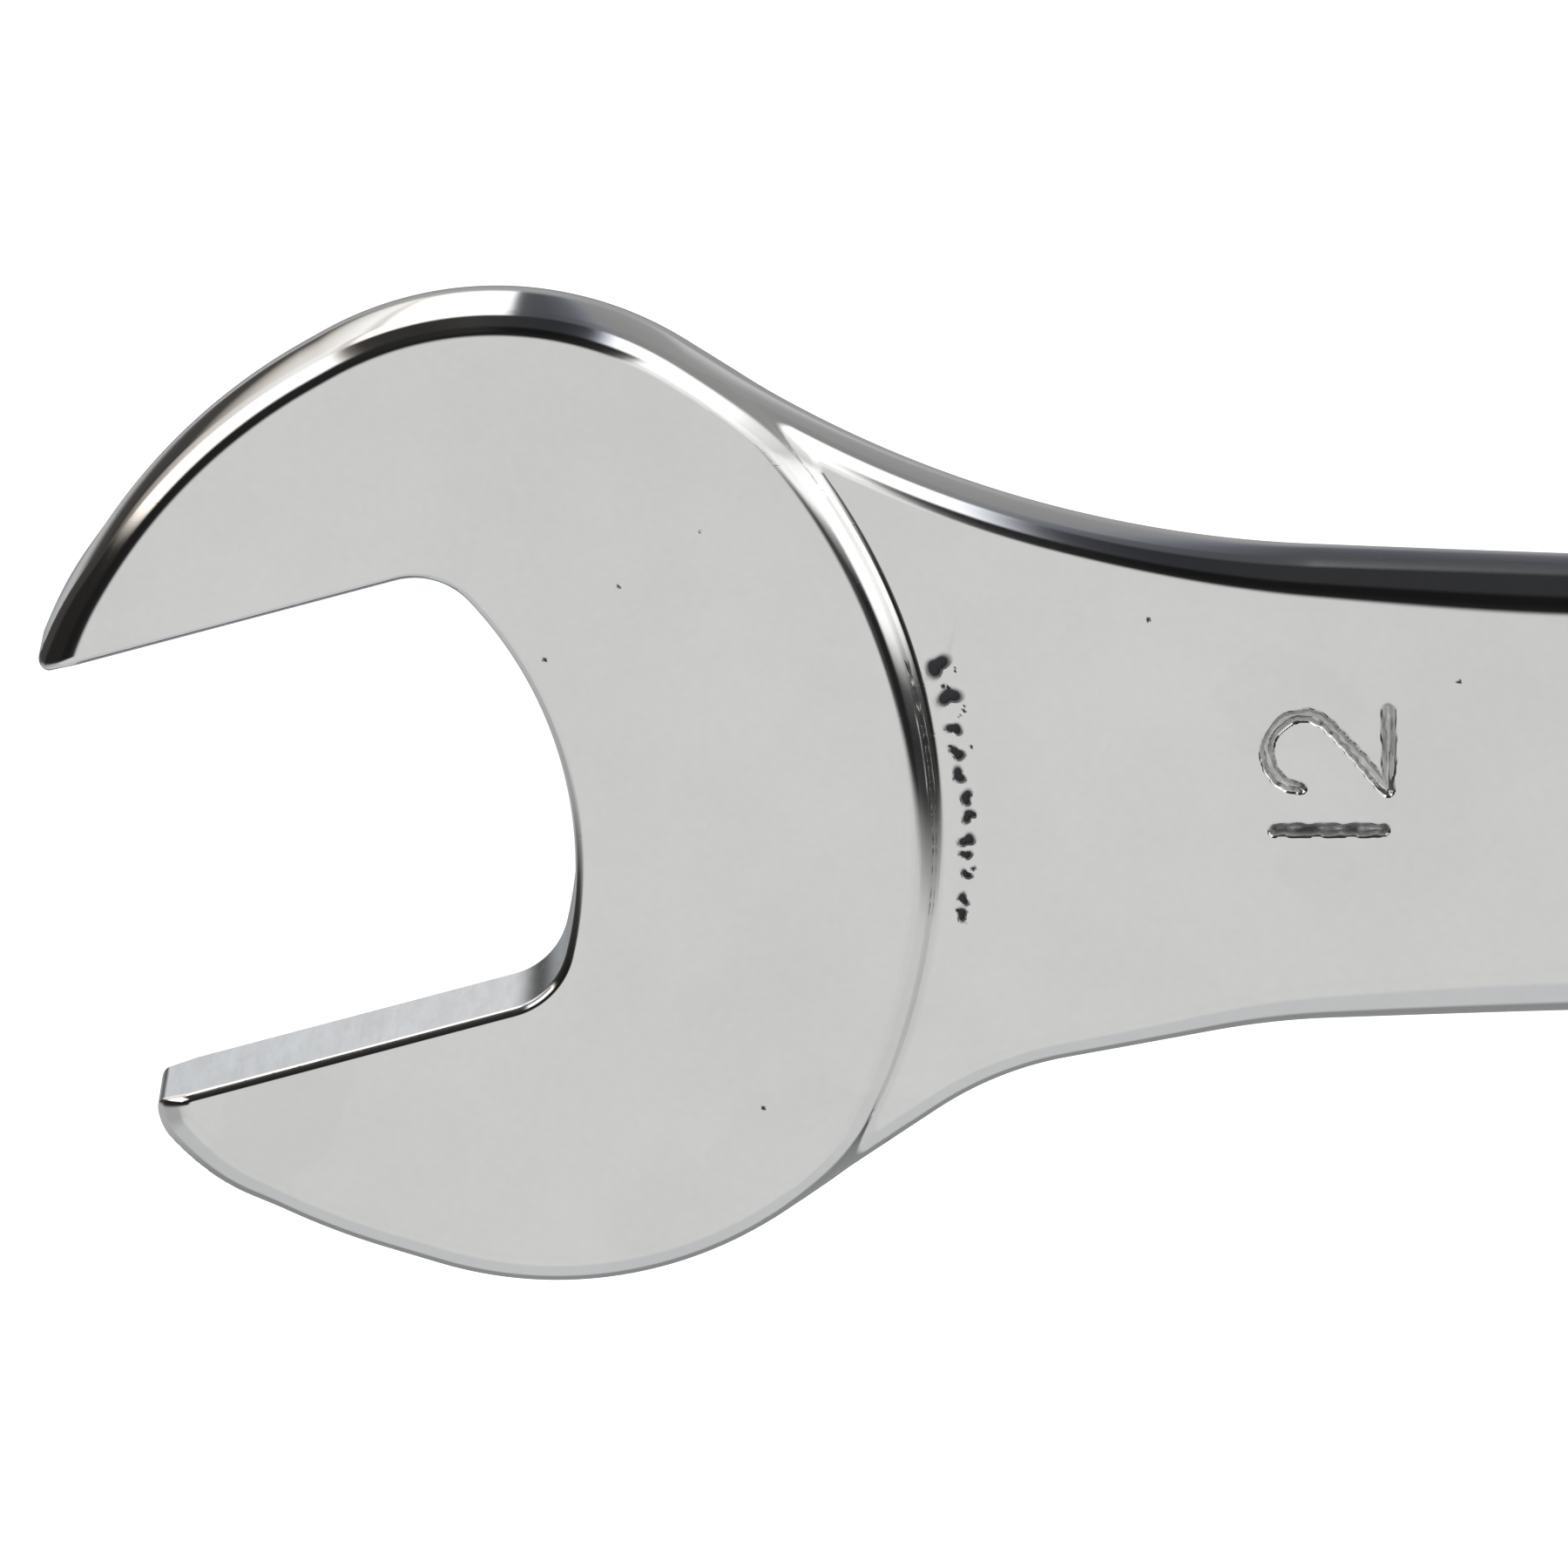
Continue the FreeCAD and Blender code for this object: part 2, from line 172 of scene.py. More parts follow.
def outlines():
    """The closed outline without the jaw gap, the one with it, and the gap's own edge, from circles of
    (x, y, radius, +1 left or -1 right turn)."""
    brow, crown = (7.611, -2.12, 16.16, -1), (4.958, 3.739, 9.755, -1)
    chin, cheek, jowl = (1.361, -4.623, 7.081, -1), (7.74, 6.759, 20.1, -1), (6.601, -2.299, 11.1, -1)
    hollow = (28.12, 38.15, 31.7, 1)
    under, heel = (22.13, -16.45, 9.3, 1), (28.18, -27.55, 21.3, 1)
    waist = (75.36, 5.15 + SHANK_CURVE, SHANK_CURVE, 1)
    reach = math.sqrt((NECK_FLARE + RING_RADIUS) ** 2 - NECK_ASIDE ** 2)
    neck = (RING_AT - reach, NECK_ASIDE, NECK_FLARE, 1)
    ring = (RING_AT, 0.0, RING_RADIUS, -1)
    high, low = tip(brow, 1), tip(chin, -1)
    body = [high, brow, crown, hollow, waist, neck, ring, over(neck), over(waist), heel, under, jowl, cheek,
            chin, low]
    corner, aside = THROAT_CORNER, HALF_GAP - THROAT_CORNER
    back = THROAT - THROAT_RADIUS
    at = back + math.sqrt((THROAT_RADIUS - corner) ** 2 - aside ** 2)
    throat = [(*from_jaw(at, -aside), corner, 1), (*from_jaw(back, 0), THROAT_RADIUS, 1),
              (*from_jaw(at, aside), corner, 1)]
    whole = belt(body, FINE)
    cut = belt(body + [nose(low, -1)] + throat + [nose(high, 1)])
    far = [(*from_jaw(-30, HALF_GAP), 0, 1), (*from_jaw(-30, -HALF_GAP), 0, 1)]
    gap = belt([far[1]] + throat + [far[0]], FINE)
    return whole, cut, gap


def star():
    """The twelve-point hole: corners on two radii in turn, each side cut into four."""
    a = math.pi * np.arange(25) / 12
    reach = np.where(np.arange(25) % 2, HOLE_CORNER, HOLE_INNER)
    corner = np.stack([RING_AT + reach * np.cos(a), reach * np.sin(a)], 1)
    t = np.arange(4)[:, None] / 4
    sides = corner[:-1, None] + (corner[1:] - corner[:-1])[:, None] * t
    along = np.repeat(corner[1:] - corner[:-1], 4, 0)
    inward = np.stack([-along[:, 1], along[:, 0]], 1) / np.linalg.norm(along, axis=1)[:, None]
    return sides.reshape(-1, 2), inward


def depth(points, line):
    """How far points lie inside an outline of belt rows, and the outward direction there: measured from the
    arc or straight that the nearest row belongs to, so it is exact between rows."""
    found = np.empty((len(points), 3))
    for i in range(0, len(points), 3000):
        p = points[i:i + 3000]
        gap = ((p ** 2).sum(1)[:, None] + (line[:, :2] ** 2).sum(1) - 2 * p @ line[:, :2].T)
        near = line[gap.argmin(1)]
        off = p - near[:, 4:6]
        reach = np.maximum(1e-9, np.linalg.norm(off, axis=1))
        turn = near[:, 7]
        flat = -((p - near[:, :2]) * near[:, 2:4]).sum(1)
        found[i:i + 3000, 0] = np.where(turn == 0, flat, (reach - near[:, 6]) * turn)
        round_out = -off / reach[:, None] * turn[:, None]
        found[i:i + 3000, 1:] = np.where(turn[:, None] == 0, near[:, 2:4], round_out)
    return found[:, 0], found[:, 1:]


# --- the surface's height ----------------------------------------------------------------------
def ease(t):
    """Rises smoothly from 0 to 1 as t does."""
    t = np.clip(t, 0, 1)
    return t * t * (3 - 2 * t)


def slope_down(t, drop, crest, cove):
    """How far a step has come down at t past its edge: a crest arc, then a cove arc that meets it, to the drop."""
    angle = math.acos(1 - drop / (crest + cove))
    foot = (crest + cove) * math.sin(angle)
    high = crest - np.sqrt(np.maximum(0, crest ** 2 - np.clip(t, 0, crest) ** 2))
    low = drop - cove + np.sqrt(np.maximum(0, cove ** 2 - np.clip(foot - t, 0, cove) ** 2))
    return np.where(t <= 0, 0, np.where(t < crest * math.sin(angle), high, np.where(t < foot, low, drop)))


def half_thickness(x, y):
    """Half of the thickness before any edge is rounded: the head's disc falls by a step to the shank, the neck
    opens past the fold and climbs to the ring, and the hole's mouth is a cone."""
    disc = np.hypot(x - DISC_AT[0], y - DISC_AT[1]) - DISC_RADIUS
    half = HALF_HEAD - slope_down(disc, HALF_HEAD - HALF_SHANK, STEP_CREST, STEP_COVE)
    past = np.maximum(0, x - FOLD_X)
    run = BEND_RADIUS * TILT
    half = half + math.tan(NECK_SPREAD) * np.where(past < run, past ** 2 / (2 * run), past - run / 2)
    away = np.hypot(x - RING_AT, y)
    turned = np.degrees(np.abs(np.arctan2(y, RING_AT - x)))
    fall = slope_down(away - (RING_RADIUS - RING_EDGE), RING_COVE, RING_EDGE, RING_COVE) / RING_COVE
    beside = 1 - ease((turned - 55) / 40)
    climb = (HALF_RING - half) * fall * np.where(x > RING_AT, 0, beside)
    half = np.where(away < RING_ZONE, HALF_RING - climb, half)
    lip = HOLE_MOUTH - away
    eased = (lip + MOUTH_SOFT) ** 2 / (4 * MOUTH_SOFT)
    cone = np.where(lip > MOUTH_SOFT, lip, np.where(lip > -MOUTH_SOFT, eased, 0))
    return half - np.where(away < RING_ZONE, cone, 0)


def edge_radius(x, y):
    """Rounding of the outer edge: small round the head, larger at the jaw tips and along the shank."""
    along, _ = to_jaw(x, y)
    at_tips, at_shank, at_ring = ease((-3.5 - along) / 2.6), ease((x - 20) / 14), ease((x - 128) / 12)
    return HEAD_EDGE + TIPS_MORE * at_tips + SHANK_MORE * at_shank - RING_LESS * at_ring


def barrel(x, y):
    """How far the upright walls lean in at their edges: the angle there, and the distance behind their middle.
    The walls bulge as an arc of a large radius, and less at the jaw tips."""
    along, _ = to_jaw(x, y)
    tall = np.maximum(0, half_thickness(x, y) - edge_radius(x, y)) * ease((along + 5.9) / 2.4)
    return tall / BARREL, tall ** 2 / (2 * BARREL)


BEHIND_GAP = 14.0            # past this the gap's edge is out of reach
NUMERAL_AT = 27.45           # nut centre to the middle of the size number
STROKE = 0.225               # half width of a stroke
NUMERAL_DEEP = 0.18
BETWEEN_DIGITS = -0.3        # along +Y; the first digit, below this, holds more grime


def numeral_lines():
    """The size number's strokes, as straight pieces in plan: text runs along +Y and stands towards -X."""
    a = np.radians(np.linspace(172, -42, 25))
    bowl = np.stack([1.06 + 1.0 * np.cos(a), 2.33 + 1.0 * np.sin(a)], 1)
    two = np.concatenate([bowl, [[0.02, 0.07], [2.22, 0.04]]]) + [0.22, 0]
    one = np.array([[-0.86, 0.2], [-0.86, 3.1]])
    lines = np.concatenate([np.hstack([two[:-1], two[1:]]), [one.ravel()]])
    turn = lambda p: np.stack([NUMERAL_AT + 1.7 - p[:, 1], p[:, 0]], 1)
    return np.hstack([turn(lines[:, :2]), turn(lines[:, 2:])])


def pit_list():
    """Small forging pits in a loose row outside the foot of the step, wider apart and larger at its upper end,
    specks round that row, and a few elsewhere: x, y, radius, depth."""
    rng = np.random.default_rng(12)
    pits, specks = 12, 16
    t = np.linspace(0, 1, pits)
    row_angle = 16.1 - 22.3 * t ** 0.8 + rng.uniform(-0.3, 0.3, pits)
    row_size = (0.41 - 0.22 * np.sqrt(t)) * np.r_[0.95, 1.05, rng.uniform(0.75, 1.1, pits - 2)]
    a = np.radians(np.r_[row_angle, rng.uniform(-7.5, 17.0, specks)])
    row_reach = 1.52 + rng.uniform(-0.04, 0.2, pits)
    reach = DISC_RADIUS + np.r_[row_reach, 1.65 + rng.uniform(-0.3, 0.35, specks)]
    row = np.stack([DISC_AT[0] + reach * np.cos(a), DISC_AT[1] + reach * np.sin(a)], 1)
    more = np.array([[8.3, 5.9], [6.3, 3.9], [10.5, 7.4], [22.6, 4.9], [31.0, 3.2], [12.2, -8.4]])
    spots = np.concatenate([row, more])
    size = np.r_[row_size, rng.uniform(0.03, 0.075, specks), rng.uniform(0.04, 0.07, len(more))]
    return np.hstack([spots, size[:, None], np.minimum(size, 0.12)[:, None] * 0.45])


NUMERALS = numeral_lines()
PITS = pit_list()


def stroke_gap(x, y):
    """Distance to the nearest straight piece of the size number."""
    best = np.full(len(x), 9.0)
    for x0, y0, x1, y1 in NUMERALS:
        t = np.clip(((x - x0) * (x1 - x0) + (y - y0) * (y1 - y0)) / ((x1 - x0) ** 2 + (y1 - y0) ** 2), 0, 1)
        best = np.minimum(best, np.hypot(x - x0 - t * (x1 - x0), y - y0 - t * (y1 - y0)))
    return best


def sunk(x, y):
    """How far the front face is sunk, and the shares of grime from stamping and of pitting: the stamped strokes
    have soft shoulders, and the forging pits have edges that wander with the angle round them."""
    ragged = 0.018 * np.sin(7 * x + 3 * y) + 0.012 * np.sin(13 * x - 9 * y)
    stamped = ease((STROKE + ragged - stroke_gap(x, y)) / 0.2)
    deep, pitted = NUMERAL_DEEP * stamped, np.zeros(len(x))
    for i, (px, py, size, low) in enumerate(PITS):
        a = np.arctan2(y - py, x - px)
        edge = size * (1 + 0.28 * np.sin(2 * a + i) + 0.16 * np.sin(3 * a + 2.3 * i))
        here = ease(1.25 * (1 - np.hypot(x - px, y - py) / edge))
        deep, pitted = deep + low * here, np.maximum(pitted, here)
    grimier = np.where(y < BETWEEN_DIGITS, 1.6, 0.6)
    return deep, stamped * grimier, pitted


def grid(across_x, across_y, gap_x, gap_y):
    """Evenly spaced points over a rectangle, given as its span in x and in y."""
    gx, gy = np.meshgrid(np.arange(*across_x, gap_x), np.arange(*across_y, gap_y))
    return np.stack([gx.ravel(), gy.ravel()], 1)


def grid_near(spots, reach, gap):
    """Evenly spaced points within reach of any of the spots."""
    points = grid(*zip(spots.min(0) - reach, spots.max(0) + reach), gap, gap)
    near = np.zeros(len(points), bool)
    for spot in spots:
        near |= ((points - spot) ** 2).sum(1) < reach ** 2
    return points[near]


def polar(centre, radii, angles):
    """A grid of points round a centre."""
    r, a = np.meshgrid(radii, np.radians(angles))
    return np.stack([centre[0] + (r * np.cos(a)).ravel(), centre[1] + (r * np.sin(a)).ravel()], 1)


def clear_of(points, taken, reach):
    """Which points lie further than reach from every taken one."""
    far = np.ones(len(points), bool)
    for i in range(0, len(points), 400):
        p = points[i:i + 400]
        gap = (p ** 2).sum(1)[:, None] + (taken ** 2).sum(1) - 2 * p @ taken.T
        far[i:i + 400] = gap.min(1) > reach ** 2
    return far


def plan_points(cut, in_jaw):
    """Where the surface is sampled: rows that follow the outline across its rounding, point under point, rows
    that follow the steps of head and ring, close grids round the number and the pits, and a wide grid elsewhere."""
    radius = np.where(in_jaw, GAP_EDGE, edge_radius(cut[:, 0], cut[:, 1]))
    behind = np.where(in_jaw, 0, barrel(cut[:, 0], cut[:, 1])[1])
    insets = [radius * (1 - math.cos(math.radians(turn))) for turn in (12, 20, 28, 36, 44, 52, 60, 68, 76, 84, 90)]
    insets += [radius + 0.12, radius + 0.4]
    rows = np.concatenate([cut[:, :2] - cut[:, 2:4] * (behind + inset)[:, None] for inset in insets])
    inside, _ = depth(rows, cut)
    # A row point that comes nearer to another stretch of the outline than to its own is left out.
    own = np.hypot(*(rows - np.tile(cut[:, :2], (len(insets), 1))).T)
    rows = rows[inside > own * 0.93 - 0.002]
    # The step of the disc, closest where it is steepest, and a guard row on each side of it.
    across_step = np.r_[np.linspace(-0.02, 0.66, 11), np.linspace(0.7, 0.86, 9), np.linspace(0.9, 1.15, 7)]
    turns = np.arange(-62, 62, 0.8)
    step = polar(DISC_AT, DISC_RADIUS + across_step, turns)
    guard = polar(DISC_AT, DISC_RADIUS + np.array([-0.3, 1.35]), turns)
    # The rise from the neck to the ring, and the cone at the hole's mouth.
    rise = polar((RING_AT, 0), RING_RADIUS - RING_EDGE + np.linspace(0, 2.36, 16), np.arange(82, 279, 2.0))
    mouth = polar((RING_AT, 0), np.r_[np.linspace(6.32, 7.3, 5), 7.32, 7.4, 7.436, 7.47, 7.56, 7.9, 8.2],
                  np.arange(0, 360, 3.0))
    step = step[clear_of(step, rows, 0.02)]
    guard = guard[clear_of(guard, rows, 0.2)]
    band = np.concatenate([rows, step, guard, rise[clear_of(rise, rows, 0.03)], mouth])
    # Close grids at the pits, at the jaw tips, where two roundings meet, and at the size number.
    pits = grid_near(PITS[:, :2], 0.42, 0.05)
    along, across = grid((-6.1, -1.6), (HALF_GAP + 0.05, 9.6), 0.08, 0.08).T
    tips = np.stack(from_jaw(np.r_[along, along], np.r_[across, -across]), 1)
    close = np.concatenate([pits, tips[clear_of(tips, band, 0.05)]])
    close = close[clear_of(close, band, 0.03)]
    text = grid((25.2, 29.8), (-1.5, 3.1), 0.048, 0.048)
    text = text[stroke_gap(text[:, 0], text[:, 1]) < 0.38]
    points = np.concatenate([band, close, text])
    # A wide grid elsewhere, a little off the axes so that no row of it falls on the outline's own points.
    wide = grid((-8, RING_AT + 12), (-14, 14), 1.1, 0.9) + [0.17, 0.11]
    points = np.concatenate([points, wide[clear_of(wide, points, 0.6)]])
    inside, _ = depth(points, cut)
    along, across = to_jaw(*points.T)
    by_jaw = (np.abs(across) < HALF_GAP + 0.4) & (along < THROAT + 0.4)
    inside = inside - np.where(by_jaw, 0, barrel(*points.T)[1])
    away = np.hypot(points[:, 0] - RING_AT, points[:, 1])
    points = points[(inside > 0.006) & (away > HOLE_INNER)]
    # The hole's sides are straight between an inner and an outer corner.
    off = points - [RING_AT, 0]
    a = np.arctan2(off[:, 1], off[:, 0]) % (math.pi / 6)
    a = np.where(a > math.pi / 12, math.pi / 6 - a, a)
    x, y = np.hypot(off[:, 0], off[:, 1]) * np.cos(a), np.hypot(off[:, 0], off[:, 1]) * np.sin(a)
    x1, y1 = HOLE_CORNER * math.cos(math.pi / 12), HOLE_CORNER * math.sin(math.pi / 12)
    side = (x - HOLE_INNER) * y1 - y * (x1 - HOLE_INNER)
    return points[(side > 0.02) | (np.hypot(off[:, 0], off[:, 1]) > HOLE_CORNER + 0.02)]


def folded(x, y, z, nx, ny, nz):
    """Turns everything past the fold up by the tilt: along an arc first, then straight on. Moves normals too."""
    run = BEND_RADIUS * TILT
    past = np.clip(x - FOLD_X, 0, run)
    a = past / BEND_RADIUS
    on = np.maximum(0, x - FOLD_X - run)
    mx = np.minimum(x, FOLD_X) + BEND_RADIUS * np.sin(a) + on * np.cos(a)
    mz = MID + BEND_RADIUS * (1 - np.cos(a)) + on * np.sin(a)
    place = np.stack([mx - (z - MID) * np.sin(a), y, mz + (z - MID) * np.cos(a)], 1)
    return place, np.stack([nx * np.cos(a) - nz * np.sin(a), ny, nx * np.sin(a) + nz * np.cos(a)], 1)


def forging_surface():
    """The whole wrench as one closed surface: front and back are the half thickness less the rounding of the
    outer edge and of the gap's edge, each a quarter circle of the distance to its outline, and upright walls
    join them. Gives places, the front's triangles, the number of points in plan, the walls' quads, a normal for
    every corner, the kind of each face (0 plate, 1 jaw face, 2 hole) and the masks."""
    whole, cut, gap = outlines()
    hole, hole_out = star()
    along, across = to_jaw(*cut[:, :2].T)
    in_jaw = (cut[:, 6] != TIP_RADIUS) & (np.abs(across) < HALF_GAP + 0.15) & (along < THROAT + 0.1)
    lean_in, behind = barrel(cut[:, 0], cut[:, 1]) * ~in_jaw
    rim = np.concatenate([cut[:, :2] - cut[:, 2:4] * behind[:, None], hole])
    n_cut, n_hole = len(cut), len(hole)
    loop = np.arange(n_cut)
    ring = n_cut + np.arange(n_hole)
    edges = np.concatenate([np.stack([loop, np.roll(loop, -1)], 1), np.stack([ring, np.roll(ring, -1)], 1)])
    inner = plan_points(cut, in_jaw)
    flat = np.concatenate([rim, inner])
    made = delaunay_2d_cdt(flat.tolist(), edges.tolist(), [], 0, 1e-5, False)
    plan = np.array([tuple(v) for v in made[0]])
    tris = np.array(made[2])
    # A triangle between outline points only may lie outside: a ray from its middle tells.
    rim_only = np.flatnonzero((tris < len(rim)).all(1))
    middle = plan[tris[rim_only]].mean(1)
    (ax, ay), (bx, by) = plan[edges[:, 0]].T, plan[edges[:, 1]].T
    spans = (ay > middle[:, 1:]) != (by > middle[:, 1:])
    rise = np.where(by == ay, 1, by - ay)
    hits = spans & (middle[:, :1] < ax + (middle[:, 1:] - ay) * (bx - ax) / rise)
    tris = np.delete(tris, rim_only[hits.sum(1) % 2 == 0], 0)
    if not np.allclose(plan[:len(rim)], rim, atol=1e-4):
        raise RuntimeError("the outline's points were merged")
    x, y = plan[:, 0], plan[:, 1]
    radius = edge_radius(x, y)
    d_out, n_out = depth(plan, whole)
    d_gap, n_gap = depth(plan, gap)
    d_gap = np.where(x > BEHIND_GAP, 9, d_gap)
    share = lambda d, r: np.clip(1 - np.maximum(d, 0) / r, 0, 1)
    lean, inset = barrel(x, y)
    c1, c2 = np.minimum(share(d_out - inset, radius), np.cos(lean)), share(d_gap, GAP_EDGE)
    s1, s2 = np.sqrt(1 - c1 ** 2), np.sqrt(1 - c2 ** 2)
    half = half_thickness(x, y) - radius * (1 - s1) - GAP_EDGE * (1 - s2)
    e = 0.004                # half the span of the differences that give the slopes
    slope = np.stack([half_thickness(x + e, y) - half_thickness(x - e, y),
                      half_thickness(x, y + e) - half_thickness(x, y - e)], 1) / (2 * e)
    dent, stamped, pitted = sunk(x, y)
    dented = np.stack([sunk(x + e, y)[0] - sunk(x - e, y)[0],
                       sunk(x, y + e)[0] - sunk(x, y - e)[0]], 1) / (2 * e)
    s1, s2 = np.maximum(s1, 1e-4), np.maximum(s2, 1e-4)
    lean = (c1 / s1)[:, None] * n_out + (c2 / s2)[:, None] * n_gap
    front, back = lean - slope + dented, lean - slope
    unit = lambda v: v / np.linalg.norm(v, axis=1)[:, None]
    one = np.ones((len(plan), 1))
    n_front, n_back = unit(np.hstack([front, one])), unit(np.hstack([back, -one]))
    n = len(plan)
    px = np.concatenate([x, x, cut[:, 0], hole[:, 0]])
    py = np.concatenate([y, y, cut[:, 1], hole[:, 1]])
    pz = np.concatenate([MID + half - dent, MID - half, np.full(n_cut + n_hole, MID)])
    normal = np.concatenate([n_front, n_back])
    # Walls: two quads between front and back for each piece of an outline, meeting at mid thickness.
    a, b = edges[:, 0], edges[:, 1]
    quads = np.concatenate([np.stack([a, b, b + 2 * n, a + 2 * n], 1),
                            np.stack([a + 2 * n, b + 2 * n, b + n, a + n], 1)])
    out_a = np.concatenate([cut[:, 2:4], hole_out])
    out_b = np.concatenate([np.roll(cut[:, 2:4], -1, 0), hole_out])
    tip_a = np.concatenate([lean_in, np.zeros(n_hole)])
    tip_b = np.concatenate([np.roll(lean_in, -1), np.zeros(n_hole)])
    leant = lambda out, tip: np.hstack([out * np.cos(tip)[:, None], np.sin(tip)[:, None]])
    mid_a, mid_b = leant(out_a, tip_a * 0), leant(out_b, tip_b * 0)
    upper = np.stack([leant(out_a, tip_a), leant(out_b, tip_b), mid_b, mid_a], 1)
    lower = np.stack([mid_a, mid_b, leant(out_b, -tip_b), leant(out_a, -tip_a)], 1)
    wall = np.concatenate([upper, lower])
    corner_v = np.concatenate([tris.ravel(), (tris[:, ::-1] + n).ravel(), quads.ravel()])
    corner_n = np.concatenate([normal[tris.ravel()], normal[(tris[:, ::-1] + n).ravel()], wall.reshape(-1, 3)])
    place, _ = folded(px, py, pz, px * 0, px * 0, px * 0)
    _, corner_n = folded(px[corner_v], py[corner_v], pz[corner_v], *corner_n.T)
    walls = np.concatenate([np.where(in_jaw, 1, 0), np.full(n_hole, 2)])
    kind = np.concatenate([np.zeros(2 * len(tris), int), walls, walls])
    rest = np.zeros(n + n_cut + n_hole)
    mask = {"sunk": np.concatenate([stamped, rest]), "pit": np.concatenate([pitted, rest])}
    return place, tris, n, quads, corner_n, kind, mask


# --- materials ---------------------------------------------------------------------------------
def new_group(name, inputs, outputs):
    """A shader node group with named sockets: (name, socket type, default) each."""
    group = bpy.data.node_groups.new(name, "ShaderNodeTree")
    for label, kind, value in inputs:
        socket = group.interface.new_socket(label, in_out="INPUT", socket_type=kind)
        if value is not None:
            socket.default_value = value
    for label, kind in outputs:
        group.interface.new_socket(label, in_out="OUTPUT", socket_type=kind)
    return group, group.nodes.new("NodeGroupInput"), group.nodes.new("NodeGroupOutput")


def add(tree, kind, **values):
    """A node with its settings, and its inputs given by name or place as numbers or as sockets to link."""
    node = tree.nodes.new(kind)
    inputs = values.pop("inputs", {})
    for key, value in values.items():
        setattr(node, key, value)
    for socket, given in inputs.items():
        if isinstance(given, bpy.types.NodeSocket):
            tree.links.new(given, node.inputs[socket])
        else:
            node.inputs[socket].default_value = given
    return node


def calc(tree, operation, *terms, clamp=False):
    """The result of a Math node, whose terms are numbers or sockets."""
    return add(tree, "ShaderNodeMath", operation=operation, use_clamp=clamp, inputs=dict(enumerate(terms))).outputs[0]


def remap(tree, source, low, high, to_low=0.0, to_high=1.0):
    """A socket's value carried from one range to another, and held inside it."""
    return add(tree, "ShaderNodeMapRange", inputs={0: source, 1: low, 2: high, 3: to_low, 4: to_high}).outputs[0]


def noise(tree, vector, scale, detail, roughness=0.5):
    """Fractal noise from 0 to 1."""
    return add(tree, "ShaderNodeTexNoise",
               inputs={"Vector": vector, "Scale": scale, "Detail": detail, "Roughness": roughness}).outputs["Fac"]


def stretched(tree, vector, scale, turn):
    """Coordinates turned about Z and stretched along each axis."""
    return add(tree, "ShaderNodeMapping",
               inputs={"Vector": vector, "Rotation": (0.0, 0.0, turn), "Scale": scale}).outputs["Vector"]


def mixed(tree, share, a, b, **values):
    """Two colours mixed by a share."""
    return add(tree, "ShaderNodeMix", data_type="RGBA", inputs={"Factor": share, "A": a, "B": b},
               **values).outputs["Result"]


def polish_group():
    """Fine polishing marks, cloudy wipe marks, faint film, grain and a soft waviness left by forging, as
    roughness, height and tone."""
    group, given, out = new_group(
        "Polish marks",
        [("Roughness", "NodeSocketFloat", 0.08), ("Cloud", "NodeSocketFloat", 0.03),
         ("Scratch", "NodeSocketFloat", 0.05)],
        [("Roughness", "NodeSocketFloat"), ("Height", "NodeSocketFloat"), ("Tone", "NodeSocketFloat")])
    at = add(group, "ShaderNodeTexCoord").outputs["Object"]
    cloud = noise(group, at, 140.0, 5.0, 0.62)
    fine = remap(group, noise(group, stretched(group, at, (120.0, 5200.0, 900.0), 0.5), 1.0, 3.0), 0.66, 0.8)
    wave = noise(group, at, 60.0, 1.0, 0.4)
    film = remap(group, noise(group, at, 75.0, 3.0, 0.55), 0.585, 0.6, 0.0, -0.12)
    grain = calc(group, "MULTIPLY_ADD", noise(group, at, 3800.0, 2.0, 0.6), 0.3, -0.15)
    centred = calc(group, "SUBTRACT", cloud, 0.5)
    clouded = calc(group, "MULTIPLY_ADD", centred, given.outputs["Cloud"], given.outputs["Roughness"])
    scratched = calc(group, "MULTIPLY_ADD", fine, given.outputs["Scratch"], clouded, clamp=True)
    group.links.new(scratched, out.inputs["Roughness"])
    group.links.new(calc(group, "MULTIPLY_ADD", fine, 0.06, wave), out.inputs["Height"])
    group.links.new(calc(group, "ADD", calc(group, "ADD", cloud, film), grain), out.inputs["Tone"])
    return group


def soil_group():
    """Dull grime that stays in stamped strokes and pits, read from the surface's own masks."""
    group, given, out = new_group(
        "Grime in hollows",
        [("Color", "NodeSocketColor", (0.8, 0.8, 0.8, 1.0)),
         ("Grime", "NodeSocketColor", (0.03, 0.03, 0.035, 1.0)),
         ("Roughness", "NodeSocketFloat", 0.1), ("Amount", "NodeSocketFloat", 1.0)],
        [("Color", "NodeSocketColor"), ("Roughness", "NodeSocketFloat"), ("Metallic", "NodeSocketFloat")])
    at = add(group, "ShaderNodeTexCoord").outputs["Object"]
    stamped = add(group, "ShaderNodeAttribute", attribute_name="sunk").outputs["Fac"]
    pitted = add(group, "ShaderNodeAttribute", attribute_name="pit").outputs["Fac"]
    broken = remap(group, noise(group, at, 2600.0, 3.0), 0.3, 0.62, 0.35, 1.0)
    held = calc(group, "MULTIPLY", calc(group, "MULTIPLY", stamped, 0.6, clamp=True), broken, clamp=True)
    both = calc(group, "MULTIPLY_ADD", pitted, 1.8, held, clamp=True)
    share = calc(group, "MULTIPLY", both, given.outputs["Amount"], clamp=True)
    group.links.new(mixed(group, share, given.outputs["Color"], given.outputs["Grime"]), out.inputs["Color"])
    rough = calc(group, "MULTIPLY_ADD", share, 0.4, given.outputs["Roughness"], clamp=True)
    group.links.new(rough, out.inputs["Roughness"])
    group.links.new(calc(group, "MULTIPLY_ADD", share, -0.8, 1.0), out.inputs["Metallic"])
    return group


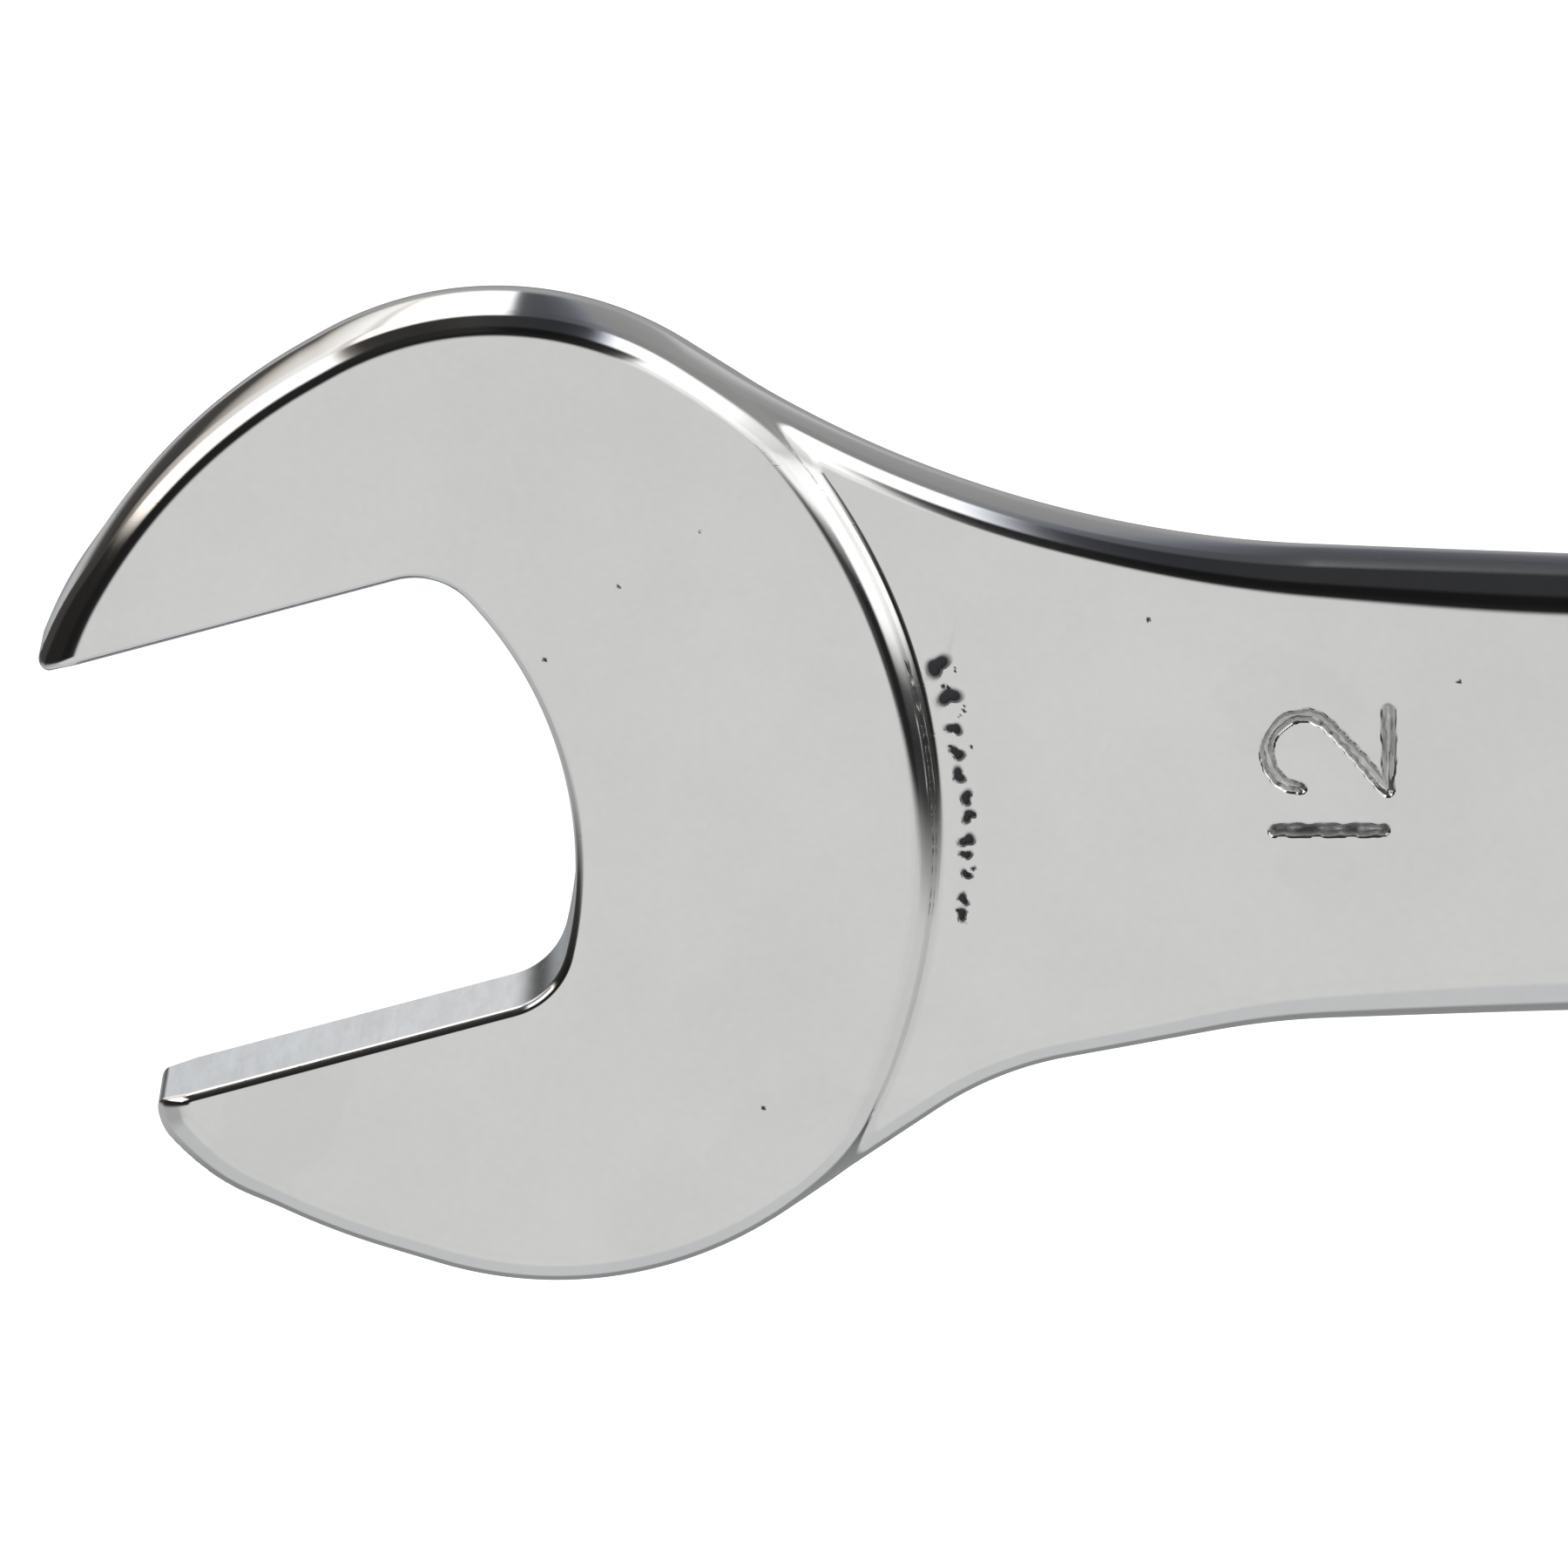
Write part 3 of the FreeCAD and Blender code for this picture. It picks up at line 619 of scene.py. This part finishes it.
def plated(name, polish, soil, colour, roughness, cloud, scratch, bump, cutter=None):
    """A plated steel finish. cutter adds parallel marks from a cutting tool: (scale along x, y, z, turn)."""
    material = bpy.data.materials.new(name)
    material.use_nodes = True
    tree = material.node_tree
    tree.nodes.clear()
    marks = add(tree, "ShaderNodeGroup", node_tree=polish,
                inputs={"Roughness": roughness, "Cloud": cloud, "Scratch": scratch})
    tone = remap(tree, marks.outputs["Tone"], 0.3, 0.7, 0.96, 1.03)
    normal = add(tree, "ShaderNodeBump", inputs={"Strength": bump, "Distance": 0.0001,
                                                 "Height": marks.outputs["Height"]}).outputs["Normal"]
    if cutter:
        at = add(tree, "ShaderNodeTexCoord").outputs["Object"]
        feed = noise(tree, stretched(tree, at, cutter[:3], cutter[3]), 1.0, 4.0, 0.6)
        normal = add(tree, "ShaderNodeBump", inputs={"Strength": 0.5, "Distance": 0.00001, "Height": feed,
                                                     "Normal": normal}).outputs["Normal"]
        tone = calc(tree, "MULTIPLY", tone, remap(tree, feed, 0.35, 0.65, 0.88, 1.1))
    base = mixed(tree, 1.0, colour, tone, blend_type="MULTIPLY")
    dirt = add(tree, "ShaderNodeGroup", node_tree=soil,
               inputs={"Color": base, "Roughness": marks.outputs["Roughness"]})
    shade = add(tree, "ShaderNodeBsdfPrincipled",
                inputs={"Base Color": dirt.outputs["Color"], "Roughness": dirt.outputs["Roughness"],
                        "Metallic": dirt.outputs["Metallic"], "Normal": normal})
    add(tree, "ShaderNodeOutputMaterial", inputs={"Surface": shade.outputs[0]})
    return material


# --- sizes and colours that a user would change ------------------------------------------------
class WrenchFinish(bpy.types.PropertyGroup):
    """Finish of the wrench."""
    plate: bpy.props.FloatVectorProperty(
        name="Plate", description="Colour of the chrome plate", subtype="COLOR", size=4, min=0, max=1,
        default=(0.8, 0.8, 0.79, 1.0))
    jaw_face: bpy.props.FloatVectorProperty(
        name="Jaw faces", description="Colour of the cut faces of the jaws", subtype="COLOR", size=4, min=0,
        max=1, default=(0.39, 0.45, 0.51, 1.0))
    polish: bpy.props.FloatProperty(
        name="Polish", description="Roughness of the plate", subtype="FACTOR", min=0, max=1, default=0.09)


class WrenchStage(bpy.types.PropertyGroup):
    """Stage and camera."""
    width: bpy.props.FloatProperty(
        name="View width", description="Width of what the camera sees", unit="LENGTH", default=42.35 * MM)
    distance: bpy.props.FloatProperty(
        name="Camera distance", description="From the camera to the head", unit="LENGTH", default=0.6)
    lean: bpy.props.FloatProperty(
        name="Camera lean", description="Camera's angle from straight above", subtype="ANGLE",
        default=math.radians(9.3))
    floor: bpy.props.FloatVectorProperty(
        name="Floor", description="Colour of the floor", subtype="COLOR", size=4, min=0, max=1,
        default=(0.95, 0.95, 0.95, 1.0))


class OBJECT_OT_wrench_forging(bpy.types.Operator):
    """Build the forged body: jaws, shank, neck and ring in one closed surface"""
    bl_idname = "object.wrench_forging"
    bl_label = "Wrench forging"

    def execute(self, context):
        finish = context.scene.wrench_finish
        place, tris, n, quads, corner_n, kind, masks = forging_surface()
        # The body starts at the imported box's first face, lies in its middle and rests on its floor, a hair above.
        # The bulge of the walls widens it a little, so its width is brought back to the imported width.
        low, high = place.min(0), place.max(0)
        packed = (CAD_BOX[1][1] - CAD_BOX[0][1]) / MM
        shift = np.array([CAD_BOX[0][0], (CAD_BOX[0][1] + CAD_BOX[1][1]) / 2, CAD_BOX[0][2]]) / MM + [0, 0, 0.0005]
        place = place - [low[0], (low[1] + high[1]) / 2, low[2]]
        place = place * [1, 0.9999 * packed / (high[1] - low[1]), 1] + shift
        place = place * MM
        faces = tris.tolist() + (tris[:, ::-1] + n).tolist() + quads.tolist()
        mesh = bpy.data.meshes.new("wrench_body")
        mesh.from_pydata(place.tolist(), [], faces)
        mesh.polygons.foreach_set("material_index", kind.astype(np.int32))
        for name, values in masks.items():
            layer = mesh.attributes.new(name, "FLOAT", "POINT")
            layer.data.foreach_set("value", values.astype(np.float32))
        mesh.shade_smooth()
        mesh.normals_split_custom_set(corner_n.tolist())
        if mesh.validate():
            raise RuntimeError("the wrench's surface has bad faces")
        body = bpy.data.objects.new("wrench_body", mesh)
        context.collection.objects.link(body)
        polish, soil = polish_group(), soil_group()
        gloss = finish.polish
        mesh.materials.append(plated("Chrome plate", polish, soil, finish.plate, gloss, 0.03, 0.05, 0.1))
        mesh.materials.append(plated("Cut jaw faces", polish, soil, finish.jaw_face, 0.2, 0.06, 0.1, 0.1,
                                     (2600.0, 300.0, 300.0, -TILT)))
        mesh.materials.append(plated("Broached hole", polish, soil, finish.plate, 0.24, 0.06, 0.1, 0.1,
                                     (9000.0, 9000.0, 300.0, 0.0)))
        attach(body, "root")
        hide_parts("wrench_forging")
        return {"FINISHED"}


# The studio as brightness by heading in degrees, anticlockwise from the ring's end, one list for each height:
# each height's share of the sky is set where the lists are blended.
STUDIO = {
    "high": [(0, 0.05), (18, 0.05), (25, 0.9), (59, 1.1), (62, 0.05), (66, 0.012), (175, 0.02), (192, 0.06),
             (200, 0.5), (215, 0.72), (318, 0.74), (344, 0.72), (350, 0.4), (354, 0.04)],
    "upper": [(0, 0.015), (14, 0.015), (21, 0.4), (25, 1.3), (36, 0.9), (46, 1.2), (50, 1.5), (59, 1.5), (62, 0.1),
              (65, 0.02), (78, 0.008), (88, 0.01), (95, 0.03), (104, 0.025), (120, 0.02), (150, 0.015),
              (172, 0.012), (186, 0.03), (196, 0.3), (210, 0.7), (236, 0.74), (300, 0.74), (322, 0.72),
              (345, 0.7), (350, 0.3), (353, 0.015)],
    "middle": [(0, 0.03), (6, 0.08), (12, 1.2), (16, 1.4), (30, 1.3), (36, 0.75), (46, 1.0), (50, 1.5), (67, 1.5),
               (70, 0.4), (72, 0.06), (78, 0.035), (88, 0.04), (95, 0.05), (104, 0.035), (117, 0.04), (120, 0.2),
               (123, 1.5), (148, 1.5), (151, 0.25), (153, 0.02), (174, 0.02), (188, 0.05), (200, 0.4), (225, 0.6),
               (240, 0.65), (300, 0.65), (322, 0.68), (343, 0.68), (348, 0.4), (354, 0.05)],
    "low": [(0, 0.2), (14, 0.3), (30, 0.6), (42, 0.34), (68, 0.28), (74, 0.14), (80, 0.09), (87, 0.09), (89, 1.5),
            (117, 1.5), (120, 0.6), (124, 1.1), (140, 0.7), (151, 0.25), (154, 0.05), (178, 0.06), (190, 0.4),
            (200, 0.5), (230, 0.45), (240, 0.3), (300, 0.3), (314, 0.25), (322, 0.12), (344, 0.1), (352, 0.2)],
}
# The same for the tint of the two lower lists: bluish and warm fringes beside the far strip lights.
STUDIO_TINT = [(0, (1.0, 1.0, 1.0)), (64, (1.0, 1.0, 1.0)), (72, (0.9, 0.94, 1.1)), (84, (0.94, 0.97, 1.07)),
               (92, (1.0, 0.99, 0.97)), (100, (1.05, 0.98, 0.93)), (118, (1.06, 0.97, 0.9)), (124, (1.0, 1.0, 1.0)),
               (150, (1.08, 0.99, 0.9)), (165, (1.05, 1.0, 0.95)), (190, (1.0, 1.0, 1.0)), (238, (0.97, 0.99, 1.01)),
               (300, (0.97, 0.99, 1.01)), (330, (1.0, 1.0, 1.0))]
OVERHEAD, UNDERNEATH = 0.74, 0.36


def world_light(scene):
    """A studio as light by direction: a pale ceiling, two strip lights on the far side with dark between them,
    a white sweep below the far edge and soft greys elsewhere."""
    world = bpy.data.worlds.new("Studio")
    scene.world = world
    world.use_nodes = True
    tree = world.node_tree
    tree.nodes.clear()
    toward = add(tree, "ShaderNodeTexCoord").outputs["Generated"]
    x, y, z = add(tree, "ShaderNodeSeparateXYZ", inputs={0: toward}).outputs
    heading = calc(tree, "FRACT", calc(tree, "DIVIDE", calc(tree, "ARCTAN2", y, x), 2 * math.pi))
    height = calc(tree, "MULTIPLY", calc(tree, "ARCSINE", z), 180 / math.pi)

    def ramp(stops):
        """Brightness or colour by heading, the same at both ends."""
        node = add(tree, "ShaderNodeValToRGB", inputs={0: heading})
        points = node.color_ramp.elements
        rgb = lambda v: (*(v if isinstance(v, tuple) else (v, v, v)), 1.0)
        points[0].position, points[0].color = 0.0, rgb(stops[0][1])
        points[1].position, points[1].color = 1.0, rgb(stops[0][1])
        for at, value in stops[1:]:
            points.new(at / 360).color = rgb(value)
        return node.outputs[0]

    def blend(lower, upper, start, end):
        """Goes over from one to the other between two heights in degrees."""
        fade = add(tree, "ShaderNodeMapRange", interpolation_type="SMOOTHSTEP",
                   inputs={0: height, 1: start, 2: end}).outputs[0]
        return mixed(tree, fade, lower, upper)

    light = blend(ramp(STUDIO["low"]), ramp(STUDIO["middle"]), -27, -13)
    light = mixed(tree, 1.0, light, ramp(STUDIO_TINT), blend_type="MULTIPLY")
    light = blend(light, ramp(STUDIO["upper"]), 29, 41)
    light = blend(light, ramp(STUDIO["high"]), 54, 62)
    light = blend(light, (*[OVERHEAD] * 3, 1.0), 66, 78)
    light = blend((*[UNDERNEATH] * 3, 1.0), light, -87, -82)
    back = add(tree, "ShaderNodeBackground", inputs={"Color": light})
    add(tree, "ShaderNodeOutputWorld", inputs={"Surface": back.outputs[0]})


# What the camera looks at: behind the jaw tips, aside of the middle, above the bench.
LOOK_FROM_TIP, LOOK_ASIDE, LOOK_HEIGHT = 20.15 * MM, 0.45 * MM, 6.0 * MM


class OBJECT_OT_wrench_stage(bpy.types.Operator):
    """Lay the floor and set the lights and the camera"""
    bl_idname = "object.wrench_stage"
    bl_label = "Wrench stage"

    def execute(self, context):
        scene, stage = context.scene, context.scene.wrench_stage
        scene.view_settings.view_transform = "Standard"
        world_light(scene)
        floor = bpy.data.meshes.new("floor")
        size, level = 3.0, CAD_BOX[0][2] - 0.02 * MM
        floor.from_pydata([(-size, -size, level), (size, -size, level), (size, size, level), (-size, size, level)],
                          [], [(0, 1, 2, 3)])
        white = bpy.data.materials.new("Floor white")
        white.use_nodes = True
        shade = white.node_tree.nodes["Principled BSDF"]
        shade.inputs["Base Color"].default_value = stage.floor
        shade.inputs["Roughness"].default_value = 0.9
        shade.inputs["Specular IOR Level"].default_value = 0.0
        shade.inputs["Emission Color"].default_value = (1, 1, 1, 1)
        shade.inputs["Emission Strength"].default_value = 0.9
        floor.materials.append(white)
        ground = bpy.data.objects.new("floor", floor)
        context.collection.objects.link(ground)
        ground.visible_glossy = False
        camera = bpy.data.cameras.new("camera")
        camera.sensor_width = 36.0
        camera.lens = 36.0 * stage.distance / stage.width
        camera.clip_start, camera.clip_end = 0.01, 20.0
        eye = bpy.data.objects.new("camera", camera)
        context.collection.objects.link(eye)
        target = Vector((CAD_BOX[0][0] + LOOK_FROM_TIP, LOOK_ASIDE, LOOK_HEIGHT))
        look = Vector((0.0, math.sin(stage.lean), math.cos(stage.lean)))
        up = Vector((0.0, math.cos(stage.lean), -math.sin(stage.lean)))
        side = up.cross(look)
        turn = Matrix((side, up, look)).transposed().to_4x4()
        eye.matrix_world = Matrix.Translation(target + look * stage.distance) @ turn
        scene.camera = eye
        return {"FINISHED"}


class VIEW3D_PT_wrench(bpy.types.Panel):
    """Sidebar panel that builds the wrench"""
    bl_label = "Wrench"
    bl_space_type = "VIEW_3D"
    bl_region_type = "UI"
    bl_category = "Wrench"

    def draw(self, context):
        column = self.layout.column()
        for prop in ("plate", "jaw_face", "polish"):
            column.prop(context.scene.wrench_finish, prop)
        for prop in ("width", "distance", "lean", "floor"):
            column.prop(context.scene.wrench_stage, prop)
        for step in STEPS:
            column.operator(step.bl_idname)


STEPS = (OBJECT_OT_wrench_forging, OBJECT_OT_wrench_stage)
CLASSES = (WrenchFinish, WrenchStage, *STEPS, VIEW3D_PT_wrench)


def register():
    """Register the classes and hang the settings on the scene."""
    for cls in CLASSES:
        bpy.utils.register_class(cls)
    bpy.types.Scene.wrench_finish = bpy.props.PointerProperty(type=WrenchFinish)
    bpy.types.Scene.wrench_stage = bpy.props.PointerProperty(type=WrenchStage)


def unregister():
    """Take the settings off the scene and unregister the classes."""
    del bpy.types.Scene.wrench_stage
    del bpy.types.Scene.wrench_finish
    for cls in reversed(CLASSES):
        bpy.utils.unregister_class(cls)


def main():
    """Build everything in order."""
    register()
    bpy.ops.object.wrench_forging()
    bpy.ops.object.wrench_stage()


if __name__ == "__main__":
    main()
